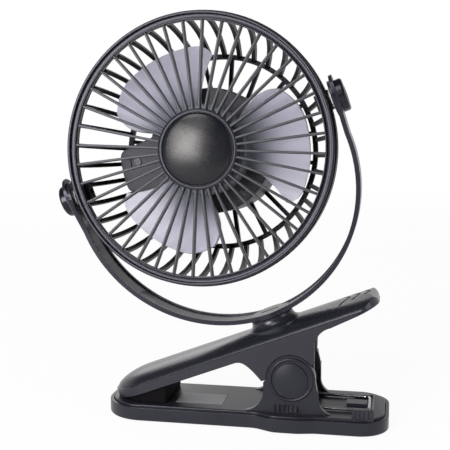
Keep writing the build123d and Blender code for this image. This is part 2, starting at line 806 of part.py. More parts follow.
def make_front_grille():
    seam = ring_seam
    ridge = head_radius - 0.6
    ring = turned([
        (ring_inner, seam), (ring_inner, ring_front + 0.5), (ring_inner + 0.2, ring_front + 0.2),
        (ring_inner + 0.5, ring_front + 0.2),
        (ring_inner + 0.8, groove_floor), (ridge - 1.1, groove_floor), (ridge - 0.9, ring_front),
        (ridge, ring_front), (head_radius, ring_front + 0.7), (head_radius, seam)])
    lip = rim_inner - slip_fit
    ring += turned([(lip - 1.1, seam - 0.3), (lip, seam - 0.3), (lip, seam + spigot_depth),
                    (lip - 1.1, seam + spigot_depth)])
    rib = block(hub_plate_radius - 1.0, ring_inner + 0.8, rib_front, rib_back, -rib_width / 2, rib_width / 2)
    hub = rod_y(hub_plate_radius, rib_front - 0.4, rib_back)
    hub += rod_y(hub_plate_radius, rib_back - 0.5, hub_collar_back)
    hub -= rod_y(hub_plate_radius - 1.6, rib_back, hub_collar_back + 1)
    hub -= rod_y(hub_cap_radius + slip_fit, rib_front - 2, rib_front - 0.4 + hub_cap_seat)
    hub -= rod_y(hub_cap_stem + slip_fit, rib_front - 2, rib_back + 1)
    groove = rod_y(hub_plate_radius - 0.8, rib_front - 1, rib_front)
    groove -= rod_y(hub_cap_radius + 0.6, rib_front - 2, rib_front + 1)
    return ring + spokes(rib, rib_count, 360.0 / rib_count / 2) + hub - groove


hub_cap_stem = 3.0


def make_hub_cap():
    seat = rib_front - 0.4 + hub_cap_seat
    edge = seat - hub_cap_seat - 0.2
    disc = rod_y(hub_cap_radius, edge, seat)
    sphere_radius = (hub_cap_radius ** 2 + hub_cap_dome ** 2) / (2 * hub_cap_dome)
    dome = Pos(0, edge - hub_cap_dome + sphere_radius, 0) * Sphere(sphere_radius)
    dome = dome & rod_y(hub_cap_radius, edge - hub_cap_dome - 1, edge)
    return disc + dome + rod_y(hub_cap_stem, seat - 0.2, rib_back + 0.4)


def pod_outline(inset):
    # round housing with a tongue that makes room for the battery's end
    outer = tongue_outer_half - inset
    inner = tongue_inner_half - inset
    start = pod_radius - 5
    end = tongue_reach + 4
    wedge = make_face(Polyline((0, -inner), (start, -inner), (end, -outer + 0.6), (end, outer - 0.6),
                               (start, inner), (0, inner), close=True))
    tongue = wedge & Circle(tongue_reach - inset)
    tip = tongue.vertices().filter_by(lambda v: v.X > pod_radius)
    tongue = Rot(0, 0, tongue_angle) * fillet(tip, tongue_corner - inset)
    return Circle(pod_radius - inset) + tongue


def make_pod_cover():
    cover = along_y(pod_outline(0), pod_front, pod_seam)
    cover = fillet(cover.faces().sort_by(Axis.Y)[0].edges(), 1.0)
    cover += rod_y(nose_radius, nose_front, pod_front + 1)
    cover -= along_y(pod_outline(pod_wall), pod_front + pod_wall, pod_seam + 1)
    cover += rod_y(motor_radius + slip_fit + 1.4, pod_front, motor_back - 1)
    cover -= rod_y(motor_radius + slip_fit, motor_front, pod_seam + 1)
    cover -= rod_y(bushing_radius + 0.6, nose_front - 1, pod_front)
    for angle in pod_screw_angles:
        x, z = polar(pod_screw_circle, angle)
        cover += rod_y(pod_post_radius, pod_front + 1, pod_seam, x, z)
        cover -= rod_y(pod_screw_radius + slip_fit, pod_front - 1, pod_seam + 1, x, z)
        cover -= rod_y(pod_screw_head + slip_fit, pod_front - 1, pod_front + 2.2, x, z)
    recess = Rot(0, 0, recess_angle) * Pos(recess_radial, 0) * Rectangle(recess_length, recess_width)
    cover -= along_y(recess, pod_front - 1, pod_front + recess_depth)
    x, z = polar(recess_radial, recess_angle)
    return cover - rod_y(pod_screw_radius + slip_fit, pod_front - 1, pod_front + pod_wall + 1, x, z)


def make_pod_screws():
    screws = []
    for angle in pod_screw_angles:
        x, z = polar(pod_screw_circle, angle)
        head = rod_y(pod_screw_head, pod_front + 0.9, pod_front + 2.2, x, z)
        shank = rod_y(pod_screw_radius, pod_front + 2, pod_seam + 7, x, z)
        slot = block(x - 1.5, x + 1.5, pod_front, pod_front + 1.5, z - 0.3, z + 0.3)
        screws.append(head + shank - slot)
    return screws


def make_tongue_screw():
    x, z = polar(recess_radial, recess_angle)
    face = pod_front + recess_depth
    head = rod_y(1.8, face - 0.8, face, x, z)
    slot = block(x - 1.2, x + 1.2, face - 1, face - 0.4, z - 0.25, z + 0.25)
    return head - slot + rod_y(pod_screw_radius, face - 0.2, face + 3.0, x, z)


def make_screw_plug():
    x, z = polar(pod_screw_circle, pod_screw_angles[0])
    return rod_y(pod_screw_head, pod_front - 0.5, pod_front + 0.8, x, z)


def bar_profile():
    # one bar of the basket, curving in from the rim to the rear ring
    outer_start = (head_radius - 0.5, rim_back - 1.5)
    outer_end = (rear_ring_radius + rear_ring_width / 2 - 0.2, rear_ring_y + 1.3)
    inner_start = (outer_start[0] - rear_bar_depth + 0.4, rim_back - 1.5)
    inner_end = (outer_end[0] - rear_bar_depth + 0.5, rear_ring_y - 0.9)
    outline = ThreePointArc(outer_start, (head_radius - 4.0, 27.0), outer_end)
    outline += ThreePointArc(inner_start, (head_radius - 6.4, 26.0), inner_end)
    return make_face(outline + Line(outer_start, inner_start) + Line(outer_end, inner_end))


def make_rear_grille():
    rim = rod_y(rim_radius, ring_seam + seam_gap, rim_back) - rod_y(rim_inner, ring_seam - 1, rim_back + 1)
    half = rear_bar_width / 2
    bar = extrude(Pos(0, 0, -half) * bar_profile(), rear_bar_width)
    basket = rim + spokes(bar, rear_bar_count, 180.0 / rear_bar_count)
    hoop_in = rear_ring_radius - rear_ring_width / 2
    hoop_out = rear_ring_radius + rear_ring_width / 2
    hoop = rod_y(hoop_out, rear_ring_y - 1.4, rear_ring_y + 1.4)
    hoop -= rod_y(hoop_in, rear_ring_y - 3, rear_ring_y + 3)
    far, near = hoop_in + 0.6, pod_radius - 0.9
    spoke_face = make_face(Polyline((far, rear_ring_y - 1.2), (far, rear_ring_y + 1.2),
                                    (near, rear_ring_y + 6.8), (near, rear_ring_y + 4.2), close=True))
    spoke = extrude(Pos(0, 0, -half) * spoke_face, rear_bar_width)
    cup = along_y(pod_outline(0), pod_seam + seam_gap, pod_back)
    cup = fillet(cup.faces().sort_by(Axis.Y)[-1].edges(), 1.6)
    basket = basket + hoop + spokes(spoke, inner_bar_count, 180.0 / inner_bar_count) + cup
    basket -= along_y(pod_outline(pod_wall), pod_seam - 1, pod_back - pod_wall)
    for angle in pod_screw_angles:
        x, z = polar(pod_screw_circle, angle)
        basket += rod_y(pod_post_radius, pod_seam + seam_gap, pod_back - 1, x, z)
        basket -= rod_y(pod_screw_radius, pod_seam - 1, pod_seam + 8, x, z)
    for side in (-1, 1):
        basket += rod_x(boss_radius, side * (rim_inner + 0.6), side * boss_end)
        x0, x1 = sorted((side * block_start, side * (rim_inner + 1.0)))
        basket += block(x0, x1, ring_seam + spigot_depth + 0.4, rim_back, -block_half_height, block_half_height)
        basket -= rod_x(pivot_thread_radius, side * (block_start - 1), side * (boss_end + 1))
    # openings in the back wall and the socket's window
    plate = rod_y(panel_radius + slip_fit, pod_back - panel_thickness, pod_back + 1, 0, -panel_drop)
    plate += rod_y(button_radius + 0.2, pod_back - 5, pod_back + 1, 0, -board_drop)
    for step in (-1, 1):
        plate += rod_y(lens_radius + slip_fit, pod_back - 5, pod_back + 1, step * lens_spacing, -board_drop)
    basket -= board_frame * plate
    window = block(-socket_width / 2 - 0.3, socket_width / 2 + 0.3,
                   board_y - socket_height - 0.3, board_y + 0.3, -pod_radius - 3, -board_drop)
    return basket - board_frame * window


board_frame = Rot(0, -(tongue_angle - 180.0), 0)


def make_control_plate():
    plate = rod_y(panel_radius, pod_back - panel_thickness, pod_back, 0, -panel_drop)
    plate -= rod_y(button_radius + 0.2, pod_back - 3, pod_back + 3, 0, -board_drop)
    for step in (-1, 1):
        plate -= rod_y(lens_radius + slip_fit, pod_back - 3, pod_back + 3, step * lens_spacing, -board_drop)
    return board_frame * plate


def make_speed_button():
    flange = pod_back - pod_wall - 0.1
    cap = rod_y(button_radius, flange - 0.5, pod_back + button_proud)
    cap = fillet(cap.edges().filter_by(GeomType.CIRCLE).sort_by(Axis.Y)[-1], 0.6)
    cap += rod_y(button_radius + 0.9, flange - 0.9, flange)
    cap += rod_y(switch_stem, switch_top + button_travel + 0.1, flange)
    return board_frame * (Pos(0, 0, -board_drop) * cap)


def make_lenses():
    return [board_frame * rod_y(lens_radius, pod_back - 4.0, pod_back + 0.1, step * lens_spacing, -board_drop)
            for step in (-1, 1)]


switch_top = board_y + board_thickness + switch_height


def make_circuit_board():
    top = board_y + board_thickness
    plate = block(-board_width / 2, board_width / 2, board_y, top, -board_drop - board_height / 2,
                  -board_drop + board_height / 2)
    plate = plate & rod_y(pod_radius - pod_wall - 0.4, board_y - 1, board_y + 3)
    chip = block(-9.6, -5.2, top - 0.1, top + 1.2, -board_drop - 2.2, -board_drop + 2.2)
    coil = rod_y(2.2, top - 0.1, top + 2.4, 7.4, -board_drop)
    switch = block(-3, 3, top - 0.1, switch_top - 0.6, -board_drop - 3, -board_drop + 3)
    switch += rod_y(switch_stem, top, switch_top, 0, -board_drop)
    board = board_frame * (plate + chip + coil + switch)
    for angle in pod_screw_angles:
        x, z = polar(pod_screw_circle, angle)
        board -= rod_y(pod_post_radius + moving_gap, board_y - 1, switch_top + 1, x, z)
    return board


def make_charging_socket():
    low = -math.sqrt((pod_radius - 0.6) ** 2 - (socket_width / 2) ** 2)
    y0 = board_y - socket_height
    half = socket_width / 2
    middle = board_y - socket_height / 2
    shell = block(-half, half, y0, board_y - 0.02, low, low + socket_depth)
    shell -= block(-half + 0.4, half - 0.4, y0 + 0.4, board_y - 0.42, low - 1, low + socket_depth - 1)
    tongue = block(-half + 1.4, half - 1.4, middle - 0.35, middle + 0.35, low + 0.8, low + socket_depth - 0.6)
    return board_frame * (shell + tongue)


def make_battery():
    near = battery_far_end - battery_length
    cell = rod_x(battery_radius, near, battery_far_end - 1.0)
    cell += rod_x(2.8, battery_far_end - 1.2, battery_far_end)
    return Rot(0, -tongue_angle, 0) * (Pos(0, battery_y, 0) * cell)


# ---------------------------------------------------------------- motor

def make_motor_can():
    can = rod_y(motor_radius, motor_front, motor_back)
    can -= rod_y(motor_radius - can_wall, motor_front + can_wall, motor_back + 1)
    can += rod_y(bushing_radius + 0.4, motor_front - 1.0, motor_front + can_wall)
    return can - rod_y(bushing_radius - 0.6, motor_front - 2, motor_front + can_wall + 1)


def make_motor_end_cap():
    cap = rod_y(motor_radius - can_wall - slip_fit, motor_back - 1.5, motor_back)
    cap += rod_y(motor_radius, motor_back + 0.02, motor_cap_back - 0.4)
    cap += rod_y(bushing_radius + 1, motor_back, motor_cap_back)
    return cap - rod_y(bushing_radius - 0.6, motor_back - 3, motor_cap_back - 0.4)


def make_motor_bushings():
    places = (motor_front - 0.8, motor_cap_back - 0.45 - bushing_length)
    bushings = []
    for y in places:
        bushing = rod_y(bushing_radius - 0.6, y, y + bushing_length)
        bushings.append(bushing - rod_y(shaft_radius + running_fit, y - 1, y + bushing_length + 1))
    return bushings


def make_motor_magnets():
    outer = motor_radius - can_wall - 0.02
    sleeve = rod_y(outer, motor_front + 3.5, motor_back - 2.6)
    sleeve -= rod_y(outer - magnet_thickness, motor_front, motor_back)
    gap = block(-outer - 1, outer + 1, motor_front, motor_back, -3.2, 3.2)
    return [solid for solid in (sleeve - gap).solids()]


def make_armature():
    core = rod_y(armature_radius, motor_front + 4.2, motor_back - 3.4)
    for i in range(3):
        slot = Rot(0, -120.0 * i, 0) * block(4.0, armature_radius + 1, motor_front, motor_back, -0.9, 0.9)
        core -= slot
    return core - rod_y(shaft_radius, motor_front, motor_back)


def make_motor_shaft():
    return rod_y(shaft_radius, hub_front + hub_wall + 0.2, motor_cap_back - 0.5)


# ---------------------------------------------------------------- impeller

def blade_point(along, across):
    # along 0..1 from root to tip, across 0..1 from the trailing edge behind to the leading edge in front
    corner = max(0.0, (abs(across - 0.5) - 0.30) / 0.20)
    reach = tip_radius - 4.6 * corner ** 2
    radius = (hub_radius - 1.0) + (reach - hub_radius + 1.0) * along
    share = (radius - hub_radius) / (tip_radius - hub_radius)
    trailing = 100.0 - 15.0 * max(share, 0.0) ** 1.25
    leading = 160.0 + 24.0 * max(share, 0.0) * (1.0 - share) - 8.0 * max(share, 0.0) ** 3
    angle = trailing + (leading - trailing) * across
    x, z = polar(radius, angle)
    bow = 1.6 * math.sin(math.pi * across)
    front = blade_front + 1.5 * share
    back = blade_back - 1.5 * share
    return (x, back + (front - back) * across + bow, z)


def make_impeller():
    hub = rod_y(hub_radius, hub_front, hub_back)
    hub = fillet(hub.edges().filter_by(GeomType.CIRCLE).sort_by(Axis.Y)[0], 1.6)
    hub -= rod_y(hub_radius - hub_wall, hub_front + hub_wall, hub_back + 1)
    hub += rod_y(hub_boss_radius, hub_front + 0.5, hub_boss_back)
    grid = [[blade_point(i / 10, j / 12) for j in range(13)] for i in range(11)]
    sheet = Face.make_surface_from_array_of_points(grid)
    blade = Solid.thicken(sheet, blade_thickness)
    fan = hub + spokes(blade, blade_count)
    room = rod_y(hub_radius - hub_wall, hub_front + hub_wall, hub_back + 3)
    fan -= room - rod_y(hub_boss_radius, hub_front, hub_boss_back)
    return fan - rod_y(shaft_radius, hub_front + hub_wall + 0.2, hub_back + 1)


# ---------------------------------------------------------------- all pieces

spin_frame = head_frame * Rot(0, -impeller_turn, 0)

save(make_sole(), "base_sole")
save(make_base_tray(), "base_tray")
save(make_base_cover(), "base_cover")
save(make_base_screws(), "base_screws")
save(make_label(), "label_plate")
save(make_axle(), "hinge_axle")
save(make_axle_cap(-1), "axle_cap_front")
save(make_axle_cap(1), "axle_cap_back")
save(make_sleeve(), "spring_sleeve")
save(make_spring(), "clip_spring")

save(make_upper_arm(), "upper_arm", arm_frame)
save(make_jaw_pad(), "jaw_pad", arm_frame)

save(make_yoke(), "yoke", yoke_frame)
save(make_swivel_washer(), "swivel_washer", swivel_frame)
save(make_swivel_screw(), "swivel_screw", swivel_frame)
save(make_pivot_cap(-1), "pivot_cap_left", yoke_frame)
save(make_pivot_cap(1), "pivot_cap_right", yoke_frame)

save([make_pivot_washer(-1), make_pivot_washer(1)], "pivot_washers", head_frame)
save([make_pivot_screw(-1), make_pivot_screw(1)], "pivot_screws", head_frame)
save(make_front_grille(), "front_grille", head_frame)
save(make_hub_cap(), "hub_cap", head_frame)
save(make_rear_grille(), "rear_grille", head_frame)
save(make_pod_cover(), "motor_cover", head_frame)
save(make_pod_screws(), "housing_screws", head_frame)
save(make_tongue_screw(), "tongue_screw", head_frame)
save(make_screw_plug(), "screw_plug", head_frame)
save(make_control_plate(), "control_plate", head_frame)
save(make_speed_button(), "speed_button", head_frame)
save(make_lenses(), "indicator_lenses", head_frame)
save(make_circuit_board(), "circuit_board", head_frame)
save(make_charging_socket(), "charging_socket", head_frame)
save(make_battery(), "battery_cell", head_frame)
save(make_motor_can(), "motor_can", head_frame)
save(make_motor_end_cap(), "motor_end_cap", head_frame)
save(make_motor_bushings(), "motor_bushings", head_frame)
save(make_motor_magnets(), "motor_magnets", head_frame)

save(make_armature(), "armature", spin_frame)
save(make_motor_shaft(), "motor_shaft", spin_frame)
save(make_impeller(), "impeller", spin_frame)
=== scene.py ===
import json
import math

import bmesh
import bpy
from mathutils import Matrix, Vector


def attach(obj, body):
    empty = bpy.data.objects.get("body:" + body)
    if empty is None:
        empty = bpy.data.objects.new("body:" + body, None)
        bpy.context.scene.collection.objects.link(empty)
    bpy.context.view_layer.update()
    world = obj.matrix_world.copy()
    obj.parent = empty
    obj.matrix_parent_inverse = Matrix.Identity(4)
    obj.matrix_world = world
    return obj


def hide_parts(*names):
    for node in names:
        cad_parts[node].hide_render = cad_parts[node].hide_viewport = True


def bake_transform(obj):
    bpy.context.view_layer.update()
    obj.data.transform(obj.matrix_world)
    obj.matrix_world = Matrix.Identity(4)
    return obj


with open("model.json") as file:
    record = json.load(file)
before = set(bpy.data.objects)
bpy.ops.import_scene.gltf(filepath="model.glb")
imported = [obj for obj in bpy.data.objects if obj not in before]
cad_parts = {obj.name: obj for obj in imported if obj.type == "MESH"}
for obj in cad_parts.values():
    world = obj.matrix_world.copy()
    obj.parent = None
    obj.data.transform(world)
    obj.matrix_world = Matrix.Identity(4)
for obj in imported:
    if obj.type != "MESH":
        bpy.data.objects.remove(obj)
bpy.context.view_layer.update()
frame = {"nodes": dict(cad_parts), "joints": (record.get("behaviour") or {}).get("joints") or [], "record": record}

nodes = frame["nodes"]
joints = {joint["name"]: joint for joint in frame["joints"]}
bodies = frame["record"]["behaviour"]["bodies"]
bodyOf = {node: body for body, members in bodies.items() for node in members}
mm = 0.001
print("frame loaded:", len(nodes), "nodes")


# places on the object, taken from its joints

def axisOf(joint):
    return Vector(joints[joint]["axis"]).normalized()


def originOf(joint):
    return Vector(joints[joint]["pos_m"])


headOrigin = originOf("head_tilt")
headX = axisOf("head_tilt")
headY = axisOf("impeller_spin")
headTurn = Matrix((headX, headY, headX.cross(headY))).transposed().to_4x4()
headPlace = Matrix.Translation(headOrigin) @ headTurn
armX = Vector((0, 1, 0)).cross(axisOf("yoke_swivel"))


# shader building

class Mask:
    # a number that varies over a surface; sums on it add Math nodes
    def __init__(self, finish, socket):
        self.finish = finish
        self.socket = socket

    def __add__(self, other):
        return self.finish.math("ADD", self, other)

    def __radd__(self, other):
        return self.finish.math("ADD", other, self)

    def __sub__(self, other):
        return self.finish.math("SUBTRACT", self, other)

    def __rsub__(self, other):
        return self.finish.math("SUBTRACT", other, self)

    def __mul__(self, other):
        return self.finish.math("MULTIPLY", self, other)

    def __rmul__(self, other):
        return self.finish.math("MULTIPLY", other, self)


class Finish:
    # the shader nodes of one material, or of the world
    def __init__(self, owner):
        owner.use_nodes = True
        self.owner = owner
        self.tree = owner.node_tree
        self.tree.nodes.clear()

    def node(self, kind, settings=None, inputs=None):
        made = self.tree.nodes.new(kind)
        for key, value in (settings or {}).items():
            setattr(made, key, value)
        for key, value in (inputs or {}).items():
            source = value.socket if isinstance(value, Mask) else value
            if isinstance(source, bpy.types.NodeSocket):
                self.tree.links.new(source, made.inputs[key])
            else:
                made.inputs[key].default_value = source
        return made

    def math(self, operation, first, second=0.0):
        made = self.node("ShaderNodeMath", {"operation": operation}, {0: first, 1: second})
        return Mask(self, made.outputs[0])

    def place(self, turn=(0, 0, 0), shift=(0, 0, 0), stretch=(1, 1, 1)):
        # object coordinates, moved, turned and stretched
        coords = self.node("ShaderNodeTexCoord").outputs["Object"]
        mapping = self.node("ShaderNodeMapping", {"vector_type": "TEXTURE"},
                            {"Vector": coords, "Location": shift, "Rotation": turn, "Scale": stretch})
        return mapping.outputs[0]

    def parts(self, vector):
        # its x, y and z
        split = self.node("ShaderNodeSeparateXYZ", inputs={0: vector})
        return [Mask(self, output) for output in split.outputs]

    def length(self, vector):
        made = self.node("ShaderNodeVectorMath", {"operation": "LENGTH"}, {0: vector})
        return Mask(self, made.outputs["Value"])

    def noise(self, size, detail=3.0, rough=0.6, vector=None):
        # size is the pattern's own size in millimetres
        made = self.node("ShaderNodeTexNoise", inputs={
            "Vector": vector or self.place(), "Scale": 1 / (size * mm), "Detail": detail, "Roughness": rough})
        return Mask(self, made.outputs[0])

    def cells(self, size):
        made = self.node("ShaderNodeTexVoronoi", inputs={"Vector": self.place(), "Scale": 1 / (size * mm)})
        return Mask(self, made.outputs["Distance"])

    def between(self, value, low, high):
        # 0 below low, 1 above high, eased between
        made = self.node("ShaderNodeMapRange", {"interpolation_type": "SMOOTHSTEP"},
                         {"Value": value, "From Min": low, "From Max": high})
        return Mask(self, made.outputs[0])

    def mix(self, share, first, second):
        made = self.node("ShaderNodeMix", {"data_type": "RGBA"}, {0: share, 6: first, 7: second})
        return made.outputs[2]

    def rays(self, *kinds):
        # 1 for these kinds of light path, otherwise 0
        outputs = self.node("ShaderNodeLightPath").outputs
        total = Mask(self, outputs[kinds[0]])
        for kind in kinds[1:]:
            total = total + Mask(self, outputs[kind])
        return self.math("MINIMUM", total, 1.0)

    def bump(self, height, depth):
        # depth is in millimetres
        made = self.node("ShaderNodeBump", inputs={"Height": height, "Distance": depth * mm, "Strength": 1.0})
        return made.outputs[0]

    def surface(self, colour, roughness, normal=None, **constants):
        inputs = {"Base Color": colour, "Roughness": roughness}
        inputs.update({name.replace("_", " "): value for name, value in constants.items()})
        if normal:
            inputs["Normal"] = normal
        shader = self.node("ShaderNodeBsdfPrincipled", inputs=inputs)
        self.node("ShaderNodeOutputMaterial", inputs={"Surface": shader.outputs[0]})
        return self.owner


def newFinish(name):
    return Finish(bpy.data.materials.new(name))


def shade(colour, factor=1):
    return tuple(min(1.0, channel * factor) for channel in colour[:3]) + (1,)


def swung(middle, swing, noise):
    # a value that goes up and down round its middle with a noise mask
    return middle + (noise - 0.5) * swing


def mottled(finish, share, look):
    # the look's colour, darker and lighter along a mask
    return finish.mix(share, shade(look["colour"], look["darker"]), shade(look["colour"], look["lighter"]))


# plastics; sizes and depths are in millimetres

plasticLook = {
    "colour": (0.012, 0.012, 0.017), "darker": 0.8, "lighter": 1.2, "cloudSize": 24,
    "grainSize": 0.35, "grainDepth": 0.004, "grainShare": 0.8,
    "roughness": 0.33, "glossShift": 0.12,
    "rubSize": 1.6, "rubTurn": (0.3, 0.5, 0.4), "rubStretch": (14, 1, 1), "rubRange": (0.62, 0.74),
    "rubs": 0.06,
    "shine": 0.32, "shineTint": (0.9, 0.88, 1.0, 1),
}
plasticKinds = {
    # what each plastic changes in the plain one
    "satinPlastic": {},
    "ringPlastic": {"roughness": 0.3},
    "basketPlastic": {"colour": (0.0045, 0.0045, 0.0058), "roughness": 0.46, "shine": 0.2},
    "ribPlastic": {"colour": (0.040, 0.040, 0.044), "roughness": 0.36},
    "capPlastic": {"colour": (0.006, 0.007, 0.010), "roughness": 0.27, "shine": 0.36, "glossShift": 0.2,
                   "cloudSize": 8, "grainDepth": 0.012, "shineTint": (1.0, 0.95, 0.93, 1)},
    "podPlastic": {"colour": (0.045, 0.044, 0.046), "roughness": 0.5, "grainDepth": 0.012},
    "pivotPlastic": {"colour": (0.006, 0.006, 0.008), "roughness": 0.22},
    "yokePlastic": {"colour": (0.0125, 0.0125, 0.0175), "roughness": 0.3, "shineTint": (0.84, 0.82, 1.0, 1)},
    "washerPlastic": {"colour": (0.6, 0.6, 0.57), "darker": 0.95, "lighter": 1.05},
}


def mouldedPlastic(name, look):
    # spark-grained plastic with faint flow clouds and hairline rubs
    finish = newFinish(name)
    clouds = finish.noise(look["cloudSize"])
    grain = finish.noise(look["grainSize"], detail=2.0)
    along = finish.place(turn=look["rubTurn"], stretch=look["rubStretch"])
    streaks = finish.noise(look["rubSize"], detail=2.0, rough=0.7, vector=along)
    rubs = finish.between(streaks, *look["rubRange"])
    roughness = swung(look["roughness"], look["glossShift"], clouds) + rubs * look["rubs"]
    height = grain * look["grainShare"] + clouds * (1 - look["grainShare"])
    return finish.surface(mottled(finish, clouds, look), roughness, finish.bump(height, look["grainDepth"]),
                          Specular_IOR_Level=look["shine"], Specular_Tint=look["shineTint"])


armLook = {
    **plasticLook, "darker": 0.85, "lighter": 1.15, "cloudSize": 26, "shine": 0.4,
    "rimHeight": 20.4, "rimBlend": 0.3, "crownRoughness": 0.25, "crownShift": 0.08, "crownGrain": 0.25,
    "wallRoughness": 0.42, "wallShift": 0.14,
}


def armPlastic():
    # polished crown above a spark-grained side wall
    look = armLook
    finish = newFinish("armPlastic")
    slope = math.atan2(-armX.z, armX.x)
    up = finish.parts(finish.place(turn=(0, slope, 0), shift=tuple(originOf("clip_hinge"))))[2]
    low, high = look["rimHeight"] - look["rimBlend"], look["rimHeight"] + look["rimBlend"]
    crown = finish.between(up, low * mm, high * mm)
    clouds = finish.noise(look["cloudSize"])
    grain = finish.noise(look["grainSize"], detail=2.0)
    wall = swung(look["wallRoughness"], look["wallShift"], clouds)
    polished = swung(look["crownRoughness"], look["crownShift"], clouds)
    roughness = wall + (polished - wall) * crown
    height = grain * (1.0 - crown * (1 - look["crownGrain"]))
    return finish.surface(mottled(finish, clouds, look), roughness, finish.bump(height, look["grainDepth"]),
                          Specular_IOR_Level=look["shine"], Specular_Tint=look["shineTint"])


# the tip colour is the blades' own grey; the root colour is painted shade near the hub
bladeLook = {
    "tip": (0.43, 0.42, 0.51), "root": (0.13, 0.14, 0.17), "rootRadius": 20, "tipRadius": 43,
    "cloudSize": 18, "cloudShare": 0.12, "roughness": 0.3, "glossShift": 0.1,
    "rippleSize": 3, "rippleDepth": 0.02, "refraction": 1.49,
}


def bladePlastic():
    # glossy grey blades with painted shade darkening them towards the hub, and faint flow lines
    look = bladeLook
    finish = newFinish("bladePlastic")
    local = finish.place(shift=tuple(headOrigin))
    flat = finish.node("ShaderNodeVectorMath", {"operation": "DOT_PRODUCT"}, {0: local, 1: tuple(headY)})
    along = finish.node("ShaderNodeVectorMath", {"operation": "SCALE"},
                        {0: tuple(headY), "Scale": flat.outputs["Value"]})
    across = finish.node("ShaderNodeVectorMath", {"operation": "SUBTRACT"}, {0: local, 1: along.outputs[0]})
    reach = finish.length(across.outputs[0])
    clouds = finish.noise(look["cloudSize"])
    # painted shade: the colour runs from the dark root colour at the hub out to the tip colour
    outwards = finish.between(reach, look["rootRadius"] * mm, look["tipRadius"] * mm)
    share = finish.math("MINIMUM", swung(outwards, look["cloudShare"], clouds), 1.0)
    ripples = finish.noise(look["rippleSize"], detail=2.0, rough=0.5)
    return finish.surface(finish.mix(share, shade(look["root"]), shade(look["tip"])),
                          swung(look["roughness"], look["glossShift"], clouds),
                          finish.bump(ripples, look["rippleDepth"]), IOR=look["refraction"])


# rubber, metals and the small parts' finishes

rubberLook = {
    "colour": (0.0036, 0.0026, 0.0034), "darker": 0.7, "lighter": 1.6, "bloomSize": 7,
    "poreSize": 0.5, "poreShare": 0.6, "poreDepth": 0.012,
    "roughness": 0.78, "glossShift": 0.2, "shine": 0.08,
}


def softRubber():
    # dark rubber with a grey bloom and fine pores
    look = rubberLook
    finish = newFinish("softRubber")
    bloom = finish.noise(look["bloomSize"], detail=4.0, rough=0.65)
    height = finish.cells(look["poreSize"]) * look["poreShare"] + bloom * (1 - look["poreShare"])
    roughness = swung(look["roughness"], look["glossShift"], bloom)
    return finish.surface(mottled(finish, bloom, look), roughness, finish.bump(height, look["poreDepth"]),
                          Specular_IOR_Level=look["shine"])


metalLook = {
    "colour": (0.55, 0.55, 0.57), "darker": 0.72, "lighter": 1.1, "stainSize": 6,
    "lineSize": 0.25, "lineStretch": (1, 6, 1), "lineDepth": 0.004,
    "roughness": 0.3, "lineShift": 0.2, "stainShift": 0.1,
}
metalKinds = {
    "platedSteel": {},
    "springSteel": {"colour": (0.36, 0.36, 0.38), "roughness": 0.24, "lineStretch": (10, 1, 1)},
    "sinteredBronze": {"colour": (0.55, 0.36, 0.16), "roughness": 0.45},
    "blackenedSteel": {"colour": (0.05, 0.05, 0.055), "roughness": 0.4},
    "dullIron": {"colour": (0.13, 0.13, 0.135), "roughness": 0.55},
}


def metal(name, look):
    # drawn or plated metal with fine lines along one direction
    finish = newFinish(name)
    lines = finish.noise(look["lineSize"], vector=finish.place(stretch=look["lineStretch"]))
    stains = finish.noise(look["stainSize"])
    roughness = swung(swung(look["roughness"], look["lineShift"], lines), look["stainShift"], stains)
    return finish.surface(mottled(finish, stains, look), roughness, finish.bump(lines, look["lineDepth"]),
                          Metallic=1.0)


labelLook = {
    "colour": (0.16, 0.16, 0.175), "darker": 0.86, "lighter": 1.12, "markSize": 9,
    "weaveSize": 0.4, "weaveStretch": (5, 1, 1), "weaveDepth": 0.008, "roughness": 0.38, "glossShift": 0.15,
}


def labelFilm():
    # blank film with a fine weave in its surface
    look = labelLook
    finish = newFinish("labelFilm")
    weave = finish.noise(look["weaveSize"], detail=2.0, vector=finish.place(stretch=look["weaveStretch"]))
    marks = finish.noise(look["markSize"])
    roughness = swung(look["roughness"], look["glossShift"], marks)
    return finish.surface(mottled(finish, marks, look), roughness, finish.bump(weave, look["weaveDepth"]))


lensLook = {
    "hazeSize": 1.2, "dull": (0.55, 0.6, 0.7), "bright": (0.75, 0.8, 0.88),
    "roughness": 0.12, "hazeShift": 0.12, "clearness": 0.6, "refraction": 1.46,
}


def clearLens():
    # clear plastic with a faint haze
    look = lensLook
    finish = newFinish("clearLens")
    haze = finish.noise(look["hazeSize"], rough=0.5)
    return finish.surface(finish.mix(haze, shade(look["dull"]), shade(look["bright"])),
                          look["roughness"] + haze * look["hazeShift"],
                          Transmission_Weight=look["clearness"], IOR=look["refraction"])


boardLook = {
    "lacquer": (0.01, 0.10, 0.035), "palerLacquer": (0.012, 0.12, 0.04), "tracks": (0.03, 0.24, 0.09),
    "patternScale": 140.0, "trackWidth": 0.03, "markSize": 3, "markDepth": 0.02,
    "roughness": 0.28, "glossShift": 0.2,
}


def circuitLacquer():
    # green lacquer, paler where a copper track lies under it
    look = boardLook
    finish = newFinish("circuitLacquer")
    tracks = finish.node("ShaderNodeTexBrick", {"offset": 0.5}, {
        "Vector": finish.place(turn=(math.pi / 2, 0, 0)), "Scale": look["patternScale"],
        "Mortar Size": look["trackWidth"], "Mortar": shade(look["tracks"]),
        "Color1": shade(look["lacquer"]), "Color2": shade(look["palerLacquer"])})
    marks = finish.noise(look["markSize"], rough=0.5)
    return finish.surface(tracks.outputs[0], swung(look["roughness"], look["glossShift"], marks),
                          finish.bump(marks, look["markDepth"]))


# the dark and light colours paint shade into the creases: dark in their hollows, light on their ridges
sleeveLook = {
    "dark": (0.02, 0.10, 0.30), "light": (0.04, 0.17, 0.44), "roughness": 0.25, "glossShift": 0.15,
    "creaseSize": 1.4, "creaseStretch": (1, 1, 5), "creaseDepth": 0.03,
}


